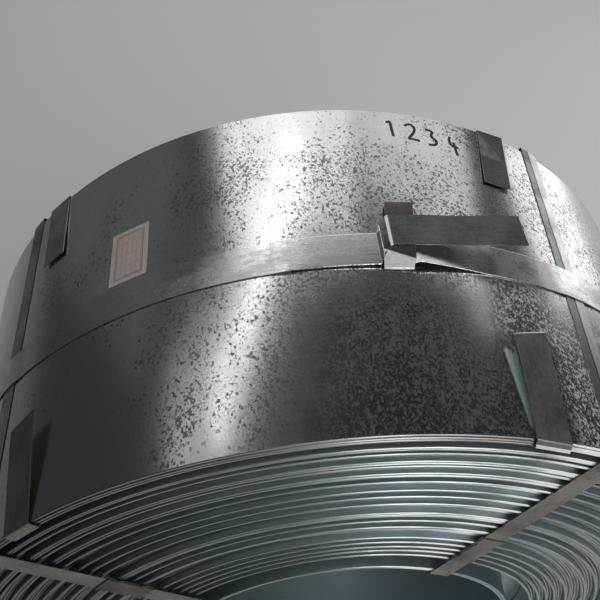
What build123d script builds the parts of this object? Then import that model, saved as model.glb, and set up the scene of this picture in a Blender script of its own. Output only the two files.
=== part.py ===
from build123d import *
import math
import os

# A coil of slit galvanised steel strip, lying on its round side with its bore level.
# The bore runs along Y through the origin, Z is up, and the near end faces -Y.
# Angles go round the bore from +X towards +Z, in degrees, so 90 is the top.

# Strip and winding
STRIP_WIDTH = 335.0
STRIP_THICKNESS = 2.5
BORE_RADIUS = 152.5
# Groups of turns from the outside inwards: how many turns, and how far the group's first and
# last turn have slipped towards +Y. None is an open gap, as wide as that many turns.
TURN_GROUPS = [
    (3, (0.0, 0.8)),
    (3, None),
    (7, (0.4, 5.6)),
    (7, (0.0, 5.2)),
    (5, (0.8, 5.8)),
    (8, (0.3, 5.4)),
    (10, (0.5, 6.2)),
    (9, (0.0, 5.6)),
    (7, (0.6, 6.4)),
    (7, (0.4, 5.2)),
    (7, (0.7, 5.8)),
    (8, None),
    (2, (1.0, 1.0)),
]
GAP_DEPTH = 26.0

# Strap round the girth, lapped on top, stood up in a fold and laid over as a free tail
BELLY_WIDTH = 32.0
BELLY_THICKNESS = 0.9
BELLY_MIDDLE = -7.5
JOINT_ANGLE = 80.0
LAP_ANGLE = 11.2
TAIL_LENGTH = 114.0
TAIL_SHIFT = 15.0
TAIL_HEIGHT = 4.7

# Clip of the same strap, hooked round the lower edge of the girth strap beside the fold
CLIP_WIDTH = 23.0
CLIP_THICKNESS = 0.9
CLIP_GAP = 1.0
CLIP_STUB = 44.5
CLIP_LIP = 14.0
CLIP_BEND = 0.5

# Straps through the bore, each slanting from its angle on the near end as it crosses the coil, and
# their crimped sleeves
EYE_WIDTH = 19.0
EYE_THICKNESS = 0.5
EYE_BEND = 0.4
EYE_ANGLES = {"eye_strap_right": 56.0, "eye_strap_left": 134.5}
EYE_SLANTS = {"eye_strap_right": -6.0, "eye_strap_left": 0.0}
SEAL_LENGTH = 42.0
SEAL_THICKNESS = 0.8
SEAL_RADII = {"eye_seal_right": 203.0, "eye_seal_left": 240.0}

# Strips laid under the outermost turns, with both ends bent back over the edges as tabs. A strip's
# slants are its near tab's, its own under the turns and its far tab's.
EDGE_STRIP_WIDTH = 28.0
EDGE_STRIP_THICKNESS = 0.9
EDGE_STRIP_ANGLES = {"edge_strip_right": 61.9, "edge_strip_left": 127.2}
EDGE_STRIP_SLANTS = {"edge_strip_right": (-1.5, -7.5, -10.0), "edge_strip_left": (0.5, 2.0, 4.0)}
EDGE_TAB_NEAR = 84.0
EDGE_TAB_FAR = 77.0
EDGE_BEND = 0.6
EDGE_STANDOFF = 0.6
EDGE_LIFT_NEAR = 8.0
EDGE_LIFT_FAR = 1.5

# Paper label, this far beyond the girth strap's edge
LABEL_ANGLE = 112.4
LABEL_ARC = 36.0
LABEL_LENGTH = 58.0
LABEL_THICKNESS = 0.25
LABEL_GAP = 4.0
LABEL_SEAT = 0.05

# Gap between pieces that lie on each other
SEAT = 0.15

NEAR_END = -STRIP_WIDTH / 2
FAR_END = STRIP_WIDTH / 2
OUTER_RADIUS = BORE_RADIUS + STRIP_THICKNESS * sum(turns for turns, slip in TURN_GROUPS)
WRAP_INNER = OUTER_RADIUS - STRIP_THICKNESS * TURN_GROUPS[0][0]
GREATEST_SLIP = max(max(slip) for turns, slip in TURN_GROUPS if slip is not None)
NEAR_STRAP = NEAR_END - SEAL_THICKNESS - 2 * SEAT
FAR_STRAP = FAR_END + GREATEST_SLIP + SEAT
BELLY_RADIUS = OUTER_RADIUS + SEAT
CLIP_SAGITTA = CLIP_WIDTH**2 / (8 * OUTER_RADIUS)
CLIP_LIFT = CLIP_THICKNESS + CLIP_SAGITTA + SEAT
EYE_LIFT = EYE_THICKNESS + SEAT
LAP_RADIUS = BELLY_RADIUS + CLIP_LIFT + BELLY_THICKNESS + SEAT
CLIP_MIDDLE = CLIP_GAP + CLIP_WIDTH / 2


def at_angle(radius, angle):
    """The point of an XZ sketch at this radius and angle."""
    turn = math.radians(angle)
    return (radius * math.cos(turn), radius * math.sin(turn))


def turn_to(shape, angle):
    """A shape drawn at the top of the coil, carried round the bore to an angle."""
    return Rotation(0, 90 - angle, 0) * shape


def round_bore(*points):
    """A ring about the bore, turned from an outline of (along Y, radius) points."""
    return revolve(Plane.YZ * make_face(Polyline(*points, close=True)), Axis.Y)


def bent(points, cut):
    """A path's points with each corner cut off, as in a tight bend."""
    path = [points[0]]
    for before, corner, after in zip(points, points[1:], points[2:]):
        for other in (before, after):
            reach = math.dist(corner, other)
            path.append(tuple(c + (o - c) * cut / reach for c, o in zip(corner, other)))
    return path + [points[-1]]


def coil():
    """The wound strip. Every turn is one strip wide, so a turn that sinks into the near end stands out of the far one."""
    near, far = [], []
    outer = OUTER_RADIUS
    for turns, slip in TURN_GROUPS:
        inner = outer - turns * STRIP_THICKNESS
        if slip is None:
            near += [(NEAR_END + GAP_DEPTH, outer), (NEAR_END + GAP_DEPTH, inner)]
            far += [(FAR_END - GAP_DEPTH, outer), (FAR_END - GAP_DEPTH, inner)]
        else:
            near += [(NEAR_END + slip[0], outer), (NEAR_END + slip[1], inner)]
            far += [(FAR_END + slip[0], outer), (FAR_END + slip[1], inner)]
        outer = inner
    solid = round_bore(*near, *reversed(far))
    for name in EDGE_STRIP_ANGLES:
        solid -= under_wrap_slot(name)
    return solid


def slanted_slab(name, width):
    """A block over the place of an edge strip, as wide as asked and turned to the strip's slant."""
    block = Box(width, 2 * STRIP_WIDTH, 2 * EDGE_STRIP_WIDTH)
    return Pos(0, 0, OUTER_RADIUS) * Rotation(0, 0, EDGE_STRIP_SLANTS[name][1]) * block


def tab_slab(name, end, slant):
    """A block over the place of an edge strip's tab, turned about the strip's middle on the coil's edge."""
    aside = -end * math.tan(math.radians(EDGE_STRIP_SLANTS[name][1]))
    block = Box(EDGE_STRIP_WIDTH, 2 * EDGE_TAB_NEAR, EDGE_STRIP_WIDTH, align=(Align.CENTER, Align.CENTER, Align.MIN))
    return Pos(aside, end, OUTER_RADIUS - EDGE_STRIP_THICKNESS) * Rotation(0, 0, slant) * block


def under_wrap_slot(name):
    """The passage under the outermost turns that an edge strip lies in."""
    floor = WRAP_INNER - EDGE_STRIP_THICKNESS - 2 * SEAT
    reach = STRIP_WIDTH
    ring = round_bore((-reach, floor), (reach, floor), (reach, WRAP_INNER), (-reach, WRAP_INNER))
    return turn_to(ring & slanted_slab(name, EDGE_STRIP_WIDTH + 2 * SEAT), EDGE_STRIP_ANGLES[name])


def edge_strip(name):
    """A strip under the outermost turns, hooked round their edges and bent back over them."""
    under = WRAP_INNER - SEAT
    over = OUTER_RADIUS + SEAT
    near = NEAR_END - EDGE_STANDOFF
    far = FAR_END + TURN_GROUPS[0][1][1] + EDGE_STANDOFF
    corners = [
        (NEAR_END + EDGE_TAB_NEAR, over + EDGE_LIFT_NEAR),
        (near, over),
        (near, under),
        (far, under),
        (far, over),
        (FAR_END - EDGE_TAB_FAR, over + EDGE_LIFT_FAR),
    ]
    path = Polyline(*bent(corners, EDGE_BEND))
    outline = offset(path, amount=EDGE_STRIP_THICKNESS, side=Side.RIGHT, kind=Kind.INTERSECTION)
    ring = revolve(Plane.YZ * make_face(outline), Axis.Y)
    near_slant, slant, far_slant = EDGE_STRIP_SLANTS[name]
    tabs = tab_slab(name, NEAR_END, near_slant) + tab_slab(name, FAR_END, far_slant)
    low = Pos(0, 0, -EDGE_STRIP_WIDTH - EDGE_STRIP_THICKNESS) * slanted_slab(name, EDGE_STRIP_WIDTH)
    return turn_to(ring & (low + tabs), EDGE_STRIP_ANGLES[name])


def eye_strap(name):
    """A closed loop over the coil, down one end, back through the bore and up the other end."""
    top = OUTER_RADIUS + SEAT
    bottom = BORE_RADIUS - SEAT
    middle = (NEAR_STRAP + FAR_STRAP) / 2
    corners = [
        (middle, top),
        (NEAR_STRAP, top),
        (NEAR_STRAP, bottom),
        (FAR_STRAP, bottom),
        (FAR_STRAP, top),
        (middle, top),
    ]
    inside = make_face(Polyline(*bent(corners, EYE_BEND)[:-1], close=True))
    outside = offset(inside, amount=EYE_THICKNESS, kind=Kind.INTERSECTION)
    ring = revolve(Plane.YZ * (outside - inside), Axis.Y)
    slant = EYE_SLANTS[name]
    block = Box(EYE_WIDTH * math.cos(math.radians(slant)), 3 * STRIP_WIDTH, 2 * OUTER_RADIUS)
    slab = Pos(0, NEAR_STRAP, OUTER_RADIUS) * Rotation(0, 0, slant) * block
    return turn_to(ring & slab, EYE_ANGLES[name])


def eye_crossing(name):
    """Where an eye strap passes under the girth strap: its angle, and half the way across it."""
    slant = math.radians(EYE_SLANTS[name])
    aside = (BELLY_MIDDLE - NEAR_STRAP) * math.tan(slant)
    angle = EYE_ANGLES[name] + math.degrees(math.asin(aside / OUTER_RADIUS))
    return angle, (EYE_WIDTH / 2 + BELLY_WIDTH / 2 * abs(math.sin(slant))) / math.cos(slant)


def eye_seal(name):
    """A sleeve of sheet closed round an eye strap on the near end."""
    hole_width = EYE_WIDTH + 2 * SEAT
    hole_depth = EYE_THICKNESS + 2 * SEAT
    outside = Box(hole_width + 2 * SEAL_THICKNESS, hole_depth + 2 * SEAL_THICKNESS, SEAL_LENGTH)
    inside = Box(hole_width, hole_depth, 2 * SEAL_LENGTH)
    sleeve = Pos(0, NEAR_STRAP - EYE_THICKNESS / 2, SEAL_RADII[name]) * (outside - inside)
    return turn_to(sleeve, EYE_ANGLES[name.replace("seal", "strap")])


def belly_path():
    """The girth strap's inner line: over its own lapped end, round the coil, and under the clip to that end."""
    crossings = [eye_crossing(name) for name in EYE_ANGLES]
    lifts = [(angle, half + SEAT, EYE_LIFT) for angle, half in crossings]
    clip_angle = JOINT_ANGLE - math.degrees(CLIP_MIDDLE / OUTER_RADIUS)
    lifts.append((clip_angle, CLIP_WIDTH / 2 + SEAT, CLIP_LIFT))
    end = JOINT_ANGLE + LAP_ANGLE
    here = end + math.degrees(math.acos(BELLY_RADIUS / LAP_RADIUS))
    edges = [
        CenterArc((0, 0), LAP_RADIUS, JOINT_ANGLE, LAP_ANGLE),
        Line(at_angle(LAP_RADIUS, end), at_angle(BELLY_RADIUS, here)),
    ]
    for angle, half_width, lift in sorted(lifts, key=lambda item: (item[0] - here) % 360):
        raised = BELLY_RADIUS + lift
        half = math.degrees(half_width / raised)
        slope = math.degrees(math.acos(BELLY_RADIUS / raised))
        middle = here + (angle - here) % 360
        leave = middle - half - slope
        land = middle + half + slope
        edges.append(CenterArc((0, 0), BELLY_RADIUS, here, leave - here))
        edges.append(Line(at_angle(BELLY_RADIUS, leave), at_angle(raised, middle - half)))
        edges.append(CenterArc((0, 0), raised, middle - half, 2 * half))
        edges.append(Line(at_angle(raised, middle + half), at_angle(BELLY_RADIUS, land)))
        here = land
    edges.append(CenterArc((0, 0), BELLY_RADIUS, here, 360 + end - here))
    return Wire([edge for line in edges for edge in line.edges()])


def belly_strap():
    """The girth strap in one length, from its lapped end to its free tail."""
    outline = offset(belly_path(), amount=BELLY_THICKNESS, side=Side.LEFT)
    high = BELLY_MIDDLE + BELLY_WIDTH / 2
    ring = extrude(Plane.XZ.offset(-high) * make_face(outline), BELLY_WIDTH)
    return ring + turn_to(standing_fold() + tail(), JOINT_ANGLE)


def standing_fold():
    """The doubled strap standing up at the joint, leaning to where the tail lies."""
    low = BELLY_MIDDLE - BELLY_WIDTH / 2
    high = BELLY_MIDDLE + BELLY_WIDTH / 2
    top = LAP_RADIUS + BELLY_THICKNESS + TAIL_HEIGHT
    outline = Polyline(
        (low, LAP_RADIUS),
        (high, LAP_RADIUS),
        (high + TAIL_SHIFT, top),
        (low + TAIL_SHIFT, top),
        close=True,
    )
    return extrude(Plane.YZ.offset(-2 * BELLY_THICKNESS) * make_face(outline), 2 * BELLY_THICKNESS)


def tail():
    """The free end, straight from the fold's top and clear of the round surface."""
    left = -2 * BELLY_THICKNESS
    height = LAP_RADIUS + TAIL_HEIGHT + BELLY_THICKNESS / 2
    strip = Box(TAIL_LENGTH - left, BELLY_WIDTH, BELLY_THICKNESS)
    return Pos((TAIL_LENGTH + left) / 2, BELLY_MIDDLE + TAIL_SHIFT, height) * strip


def joint_clip():
    """A hook of strap: over the girth strap beside its fold, round its lower edge and back under it."""
    under = OUTER_RADIUS + SEAT + CLIP_THICKNESS
    over = LAP_RADIUS
    low = BELLY_MIDDLE - BELLY_WIDTH / 2 - SEAT - CLIP_BEND
    corners = [(CLIP_STUB, over), (low, over), (low, under), (low + CLIP_LIP, under)]
    path = Polyline(*bent(corners, CLIP_BEND))
    outline = offset(path, amount=CLIP_THICKNESS, side=Side.RIGHT, kind=Kind.INTERSECTION)
    hook = extrude(Plane.YZ * make_face(outline), CLIP_WIDTH / 2, both=True)
    return turn_to(hook, JOINT_ANGLE - math.degrees(CLIP_MIDDLE / OUTER_RADIUS))


def paper_label():
    """A small paper label stuck to the round surface."""
    low = BELLY_MIDDLE + BELLY_WIDTH / 2 + LABEL_GAP
    high = low + LABEL_LENGTH
    under = OUTER_RADIUS + LABEL_SEAT
    over = under + LABEL_THICKNESS
    sheet = round_bore((low, under), (high, under), (high, over), (low, over))
    window = Pos(0, low + LABEL_LENGTH / 2, OUTER_RADIUS) * Box(LABEL_ARC, 2 * LABEL_LENGTH, LABEL_ARC)
    return turn_to(sheet & window, LABEL_ANGLE)


def main():
    os.makedirs("parts", exist_ok=True)
    parts = {
        "coil": coil(),
        "belly_strap": belly_strap(),
        "joint_clip": joint_clip(),
        "paper_label": paper_label(),
    }
    parts.update((name, eye_strap(name)) for name in EYE_ANGLES)
    parts.update((name, eye_seal(name)) for name in SEAL_RADII)
    parts.update((name, edge_strip(name)) for name in EDGE_STRIP_ANGLES)
    for name, shape in parts.items():
        export_step(shape, os.path.join("parts", name + ".step"))


main()
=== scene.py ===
"""A coil of slit galvanised strip, lying on its round side and bound with steel straps."""
import math
import random

import bpy
from bpy.props import FloatProperty, FloatVectorProperty, IntProperty, PointerProperty
from mathutils import Matrix, Vector


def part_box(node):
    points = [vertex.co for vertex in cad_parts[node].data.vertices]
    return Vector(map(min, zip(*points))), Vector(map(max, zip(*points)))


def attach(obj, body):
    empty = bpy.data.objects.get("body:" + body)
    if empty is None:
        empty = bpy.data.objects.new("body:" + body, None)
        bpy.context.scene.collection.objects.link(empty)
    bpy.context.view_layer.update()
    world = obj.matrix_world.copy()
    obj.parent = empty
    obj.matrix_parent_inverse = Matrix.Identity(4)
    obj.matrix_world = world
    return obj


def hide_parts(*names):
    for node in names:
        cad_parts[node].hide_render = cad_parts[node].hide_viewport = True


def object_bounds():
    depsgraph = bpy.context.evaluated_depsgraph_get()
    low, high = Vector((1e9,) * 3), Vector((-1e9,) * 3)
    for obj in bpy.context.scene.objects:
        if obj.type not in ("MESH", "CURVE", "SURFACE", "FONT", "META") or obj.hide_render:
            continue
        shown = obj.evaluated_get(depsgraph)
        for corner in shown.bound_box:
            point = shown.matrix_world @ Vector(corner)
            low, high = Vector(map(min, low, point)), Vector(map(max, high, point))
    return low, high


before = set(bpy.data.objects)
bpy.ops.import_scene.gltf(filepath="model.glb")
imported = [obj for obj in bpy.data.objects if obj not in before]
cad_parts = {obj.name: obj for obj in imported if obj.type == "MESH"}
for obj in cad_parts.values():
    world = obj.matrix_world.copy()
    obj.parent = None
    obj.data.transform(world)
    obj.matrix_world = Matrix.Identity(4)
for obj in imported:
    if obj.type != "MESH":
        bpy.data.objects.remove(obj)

bl_info = {
    "name": "Slit Steel Coil",
    "version": (1, 0, 0),
    "blender": (4, 5, 0),
    "location": "View3D > Sidebar > Coil",
    "description": "Dresses a packed slit coil with its turns, straps, label and finishes",
    "category": "Object",
}

MM = 0.001
CAD_LOW, CAD_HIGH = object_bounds()

# Places that the CAD settles, in metres and degrees. Angles go round the bore from +X to +Z.
OUTER = 360.0 * MM
WIDTH = 335.0 * MM
TURN = 2.5 * MM
NEAR = -WIDTH / 2
FAR = WIDTH / 2
# Runs of turns from the outside inwards: how many stand proud at the near end, and how many
# behind them have slipped back. None, and then so many turns, is an open gap.
TURN_RUNS = [
    (3, 0), (None, 3), (2, 1), (1, 3), (2, 1), (1, 3), (2, 2), (1, 4), (1, 3), (1, 3), (1, 5),
    (3, 2), (1, 3), (2, 5), (1, 3), (1, 2), (1, 2), (1, 2), (1, 0), (None, 8), (2, 0),
]
# How far proud and slipped turns stand back, in millimetres
PROUD_SLIP = (0.0, 0.9)
BACK_SLIP = (4.6, 6.3)
# How deep a gap that is so many turns wide goes
GAP_DEPTHS = {3: 12.0 * MM, 8: 26.0 * MM}
# The outermost turns are wound loosely, and take this much each
LOOSE_TURN = 3.2 * MM

BELLY_MIDDLE = -7.5 * MM
BELLY_WIDTH = 32.0 * MM
STRAP_THICKNESS = 0.9 * MM
GIRTH_SEAT = 0.1 * MM
GIRTH_RIM = 0.9 * MM
JOINT_ANGLE = 80.0
LAP_ANGLE = 11.2
# How high the girth strap rises over a bore strap, and how fast it sinks beside it
CROSSING_RISE = 0.65 * MM
CROSSING_SLOPE = 0.06
# How high it stands at the clip, how far it holds that, and how far it then sinks
CLIP_ANGLE = JOINT_ANGLE - 2.0
CLIP_RISE = 1.3 * MM
CLIP_HOLD = 12.0 * MM
CLIP_SINK = 63.0 * MM
# The strap's near edge lifts beside the clip: how high, where it has risen by half and by all,
# and how far it then sinks
EDGE_LIFT = 4.6 * MM
EDGE_HALF = 20.0 * MM
EDGE_FULL = 26.0 * MM
EDGE_SINK = 56.0 * MM
# The fold before the tail: places along the tangent, shares of the tail's shift, and heights
FOLD_PROFILE = ((-2.4, 0.0, 2.1), (-0.6, 0.35, 5.2), (4.6, 0.9, 6.3), (7.6, 1.0, 7.3))
TAIL_LENGTH = 112.0 * MM
TAIL_SHIFT = 15.0 * MM
TAIL_START = 12.0 * MM
TAIL_HEIGHT = 7.1 * MM
# The bend between the fold and the tail, which takes a painted highlight: where it lies along the
# tangent, and how high
BEND_START = 4.8 * MM
BEND_END = 6.8 * MM
BEND_HEIGHT = 6.2 * MM
# The clip's middle line: its place along the tangent, its slant, and its places along the coil
# and heights in millimetres, from the stub to the end of the lip
CLIP_PLACE = 13.5 * MM
CLIP_SLANT = 0.15
CLIP_PROFILE = (
    (43.5, 2.2), (28.0, 3.4), (10.0, 5.4), (-8.0, 6.5),
    (-18.0, 6.5), (-28.2, 0.6), (-22.0, 0.3), (-12.0, 0.4),
)
CLIP_WIDTH = 23.0 * MM
CLIP_FOLD_SLANT = 0.45

EYE_ANGLES = {"right": 56.0, "left": 134.5}
EYE_SLANTS = {"right": -6.0, "left": 0.0}
EYE_WIDTH = 19.0 * MM
SEAL_RADII = {"right": 203.0 * MM, "left": 240.0 * MM}
SEAL_RUSTS = {"right": 0.0, "left": 0.34}
SEAL_LENGTH = 42.0 * MM
CRIMP_ROWS = (-10.5 * MM, 10.5 * MM)
CRIMP_REACH = 4.2 * MM
NOTCH_REACH = 3.2 * MM

EDGE_STRIP_ANGLES = {"right": 61.9, "left": 127.2}
# How far the near tab, the middle and the far tab of each strip slant, in degrees
EDGE_STRIP_SLANTS = {"right": (-1.5, -7.5, -10.0), "left": (0.5, 2.0, 4.0)}
EDGE_STRIP_WIDTH = 28.0 * MM
# How far the near hook leans as it goes down the end
HOOK_LEANS = {"right": 0.6, "left": 0.0}
HOOK_DEPTH = 8.5 * MM
HOOK_BEND = 4.2 * MM
EDGE_TAB_NEAR = 84.0 * MM
EDGE_TAB_FAR = 77.0 * MM
TAB_SEAT = 0.3 * MM
TAB_RIM = 1.3 * MM
# How askew the near tab's free end is cut
TAB_CUT = 0.28
# The finishes of a hooked strip, in the order of its slots
NEAR_TAB, FAR_TAB, HOOK, UNDERSIDE, CUT, RIMMED = range(6)

LABEL_ANGLE = 112.4
LABEL_WIDTH = 36.0 * MM
LABEL_SEAT = 0.08 * MM
# Each marker number: its angle, and where its foot stands along the coil, in millimetres
DIGIT_PLACES = {"1": (76.2, 133.0), "2": (73.2, 131.0), "3": (70.2, 127.0), "4": (67.2, 122.0)}
DIGIT_WIDTH = 15.0 * MM
DIGIT_HEIGHT = 24.0 * MM
# How high the ink lies, and what share of the pen's tube stays when it is pressed flat
INK_SEAT = 0.06 * MM
INK_SHARE = 0.04

# The steels of straps, clip and sleeves: light and dark shade, roughness and share of metal
STEELS = {
    # Painted shade: the tail, a darker copy of the girth strap's steel
    "tail_strap_steel": ((0.21, 0.21, 0.215), (0.085, 0.085, 0.09), 0.36, 0.9),
    # Painted highlight: the bend between fold and tail
    "bent_strap_steel": ((0.92, 0.92, 0.90), (0.72, 0.72, 0.70), 0.35, 0.35),
    # Painted shade on the clip's top and stub, and a painted highlight on its lip: one steel in two
    # colours
    "clip_steel": ((0.11, 0.10, 0.088), (0.055, 0.05, 0.042), 0.3, 0.9),
    "clip_lip_steel": ((0.36, 0.365, 0.38), (0.22, 0.225, 0.235), 0.24, 0.9),
    "bore_strap_steel": ((0.21, 0.212, 0.205), (0.11, 0.112, 0.108), 0.34, 0.9),
    "eye_seal_right_steel": ((0.23, 0.22, 0.20), (0.12, 0.11, 0.095), 0.42, 0.9),
    "eye_seal_left_steel": ((0.12, 0.115, 0.105), (0.065, 0.06, 0.052), 0.42, 0.9),
    # Painted glints: the pale notches beside the crimps
    "notched_steel": ((0.80, 0.80, 0.78), (0.50, 0.50, 0.48), 0.3, 0.5),
    "edge_strip_steel": ((0.58, 0.585, 0.59), (0.13, 0.13, 0.135), 0.24, 0.9),
    # Painted shade: the far tab, darker than the same strip's near tab
    "far_tab_steel": ((0.22, 0.22, 0.23), (0.08, 0.08, 0.085), 0.24, 0.9),
    # Painted shade: the left strip and its far tab, darker than the right strip
    "left_strip_steel": ((0.24, 0.24, 0.225), (0.12, 0.12, 0.11), 0.26, 0.9),
    "left_tab_steel": ((0.30, 0.30, 0.285), (0.17, 0.17, 0.16), 0.26, 0.9),
    # Painted highlight: the lower bend of the hook
    "hook_bend_steel": ((0.92, 0.93, 0.94), (0.72, 0.73, 0.74), 0.3, 0.35),
    # Painted light: the strip's underside, pale so that the zinc below mirrors it bright
    "strip_underside": ((0.60, 0.74, 0.74), (0.48, 0.60, 0.60), 0.45, 0.2),
    # Painted highlight: the cut end of the near tab
    "cut_strip_edge": ((0.95, 0.96, 0.97), (0.75, 0.76, 0.77), 0.3, 0.3),
}
# How the drawing marks of a strip are stretched
STRIP_MARKS = (4.0, 0.5, 4.0)

# Each softbox: its watts, its place, what it faces, its width and height, and its turn in degrees
SOFTBOXES = {
    "far": (19.0, (-0.05, 3.38, 1.86), (-0.05, 2.18, 0.25), (1.9, 2.55), 0.0),
    "right": (14.0, (2.15, 3.51, 1.76), (2.15, 2.31, 0.15), (2.5, 2.22), 0.0),
    "strip": (2.6, (-0.42, 1.5, 1.96), (-0.42, 1.5, 0), (1.5, 0.18), 42.4),
    "left": (0.8, (-2.4, 2.9, 1.15), (-0.6, 0.2, 0.5), (1.6, 2.4), 0.0),
    "wash": (0.85, (-1.25, 1.15, 1.96), (-1.25, 1.15, 0), (0.8, 0.6), 0.0),
    "side": (1.9, (1.47, 1.2, 0.03), (0.23, 0, 0.03), (0.5, 0.75), 0.0),
    "top": (22.0, (0.2, -0.6, 3.0), (0.2, -0.6, 0), (3.0, 1.6), 0.0),
    "near": (27.0, (0.95, -1.6, 1.3), (0.1, -0.1, 0.1), (1.4, 1.6), 0.0),
}
# The camera that was fitted to the photo: its place, and where its right and its down point
CAMERA_PLACE = (2.44 * MM, -420.49 * MM, 793.11 * MM)
CAMERA_RIGHT = (0.99346, -0.08075, -0.08076)
CAMERA_DOWN = (-0.11384, -0.75666, -0.64382)


def round_point(radius, angle, y=0.0):
    """A point at this radius and angle round the bore."""
    turn = math.radians(angle)
    return Vector((radius * math.cos(turn), y, radius * math.sin(turn)))


def tangent_point(angle, along, y, height):
    """A point off the round surface: so far along the tangent at an angle, and so high above it."""
    turn = math.radians(angle)
    out = Vector((math.cos(turn), 0, math.sin(turn)))
    side = Vector((math.sin(turn), 0, -math.cos(turn)))
    return out * (OUTER + height) + side * along + Vector((0, y, 0))


def arc(degrees):
    """The length of an arc on the round side."""
    return degrees * math.pi / 180 * OUTER


def ramp(value, start, length):
    """0 up to a start, 1 from a length past it on, and even between them."""
    return min(1.0, max(0.0, (value - start) / length))


def directions(angle):
    """The directions along the tangent at an angle and straight out of it."""
    foot = tangent_point(angle, 0, 0, 0)
    along = (tangent_point(angle, 1, 0, 0) - foot).normalized()
    out = (tangent_point(angle, 0, 0, 1) - foot).normalized()
    return along, out


class Value:
    """One output in a shader graph, which can be added, multiplied and compared as a number is."""

    def __init__(self, finish, socket):
        self.finish = finish
        self.socket = socket

    def math(self, operation, *others):
        inputs = dict(enumerate((self,) + others))
        return self.finish.node("ShaderNodeMath", inputs, operation=operation)

    def swapped(self, operation, other):
        return self.finish.node("ShaderNodeMath", {0: other, 1: self}, operation=operation)

    def __add__(self, other):
        return self.math("ADD", other)

    __radd__ = __add__

    def __sub__(self, other):
        return self.math("SUBTRACT", other)

    def __rsub__(self, other):
        return self.swapped("SUBTRACT", other)

    def __mul__(self, other):
        return self.math("MULTIPLY", other)

    __rmul__ = __mul__

    def __truediv__(self, other):
        return self.math("DIVIDE", other)

    def __pow__(self, other):
        return self.math("POWER", other)

    def step(self, low, high):
        """0 below low, 1 above high, and smooth between them."""
        inputs = {0: self, 1: low, 2: high, 3: 0.0, 4: 1.0}
        return self.finish.node("ShaderNodeMapRange", inputs, interpolation_type="SMOOTHSTEP")

    def beyond(self, low, high):
        """The same between two angles in degrees."""
        return self.step(math.radians(low), math.radians(high))


class Finish:
    """A material, and the shader graph that draws it."""

    def __init__(self, name):
        self.material = bpy.data.materials.new(name)
        self.material.use_nodes = True
        self.tree = self.material.node_tree
        self.shader = self.tree.nodes["Principled BSDF"]

    def node(self, kind, inputs=None, output=0, **settings):
        """Adds a node, sets it up, feeds its sockets and gives one of its outputs."""
        node = self.tree.nodes.new(kind)
        for name, value in settings.items():
            setattr(node, name, value)
        for key, value in (inputs or {}).items():
            self.feed(node.inputs[key], value)
        return Value(self, node.outputs[output])

    def feed(self, socket, value):
        """Links a socket to a graph, or sets its number, vector or colour."""
        if isinstance(value, Value):
            self.tree.links.new(value.socket, socket)
        elif not isinstance(value, (int, float)) and len(value) < len(socket.default_value):
            socket.default_value = (*value, 1.0)
        else:
            socket.default_value = value

    def place(self, scale=(1.0, 1.0, 1.0), move=(0.0, 0.0, 0.0)):
        """Object coordinates, stretched and moved."""
        point = self.node("ShaderNodeTexCoord", output="Object")
        inputs = {"Vector": point, "Location": move, "Scale": scale}
        return self.node("ShaderNodeMapping", inputs)

    def parts(self, vector):
        """The X, Y and Z of a vector."""
        split = self.tree.nodes.new("ShaderNodeSeparateXYZ")
        self.feed(split.inputs[0], vector)
        return [Value(self, split.outputs[axis]) for axis in range(3)]

    def noise(self, where, scale, detail=4.0, roughness=0.5, distortion=0.0):
        """A soft random number from 0 to 1."""
        inputs = {"Vector": where, "Scale": scale, "Detail": detail}
        inputs.update(Roughness=roughness, Distortion=distortion)
        return self.node("ShaderNodeTexNoise", inputs, "Fac")

    def wear(self, where):
        """The broad patches and the fine grain of steel worn by handling."""
        return self.noise(where, 22.0, 3.0, 0.55, 0.3), self.noise(where, 260.0, 6.0, 0.68, 0.3)

    def cells(self, where, scale):
        """A number from 0 to 1 for each crystal."""
        inputs = {"Vector": where, "Scale": scale}
        return self.parts(self.node("ShaderNodeTexVoronoi", inputs, "Color"))[0]

    def mix(self, share, low, high):
        """One colour turning into another."""
        inputs = {0: share, 6: low, 7: high}
        return self.node("ShaderNodeMix", inputs, 2, data_type="RGBA", clamp_factor=True)

    def bump(self, height, strength, distance):
        inputs = {"Height": height, "Strength": strength, "Distance": distance}
        self.feed(self.shader.inputs["Normal"], self.node("ShaderNodeBump", inputs))

    def draw(self, colour, roughness, metallic=0.0):
        self.feed(self.shader.inputs["Base Color"], colour)
        self.feed(self.shader.inputs["Roughness"], roughness)
        self.feed(self.shader.inputs["Metallic"], metallic)
        return self.material


def left_flank_shade(x, z):
    """1 high on the left flank, where painted shade darkens zinc and strap."""
    return (0 - x).step(0.195, 0.27) * z.step(0.04, 0.17)


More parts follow.
